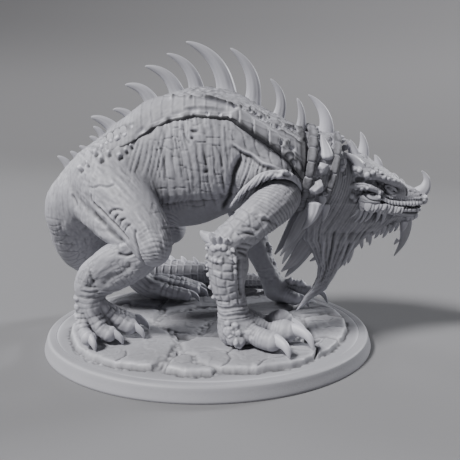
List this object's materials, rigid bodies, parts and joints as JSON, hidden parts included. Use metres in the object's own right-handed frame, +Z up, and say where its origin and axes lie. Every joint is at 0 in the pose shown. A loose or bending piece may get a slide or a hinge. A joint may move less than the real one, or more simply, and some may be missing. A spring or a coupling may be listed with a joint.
{
  "type": "spined lizard figurine on a round base",
  "caption": "Grey resin tabletop figurine of a hunched, spined fantasy lizard on a round flagstone base, for display or board games.",
  "frame": {"origin": "centre of the round base's flat underside", "axes": "+X the way the beast faces, +Z up, +Y towards its left side, round which the tail curls"},
  "size_m": [0.1179, 0.1, 0.0904],
  "materials": {
    "skin_resin": "matte grey cast resin with fine skin detail",
    "plate_resin": "matte grey cast resin, smoother plates",
    "horn_resin": "matte grey cast resin, smooth horn",
    "eye_resin": "matte grey cast resin, smooth",
    "base_resin": "matte grey cast resin, stone texture"
  },
  "bodies": {
    "root": {"base": "base_resin", "trunk": "skin_resin", "neck": "skin_resin", "throat": "skin_resin", "throat_frill": "skin_resin", "head": "skin_resin", "jaw": "skin_resin", "tail_1": "skin_resin", "tail_2": "skin_resin", "tail_3": "skin_resin", "hind_leg_right_upper": "skin_resin", "hind_leg_right_lower": "skin_resin", "hind_leg_right_foot": "skin_resin", "hind_leg_left_upper": "skin_resin", "hind_leg_left_lower": "skin_resin", "hind_leg_left_foot": "skin_resin", "foreleg_right_upper": "skin_resin", "foreleg_right_lower": "skin_resin", "foreleg_right_foot": "skin_resin", "foreleg_left_upper": "skin_resin", "foreleg_left_lower": "skin_resin", "foreleg_left_foot": "skin_resin", "back_shield": "plate_resin", "collar": "plate_resin", "nose_horn": "horn_resin", "chin_spike": "horn_resin", "temple_horn_right": "horn_resin", "temple_horn_left": "horn_resin", "eye_right": "eye_resin", "eye_left": "eye_resin"}
  },
  "joints": []
}
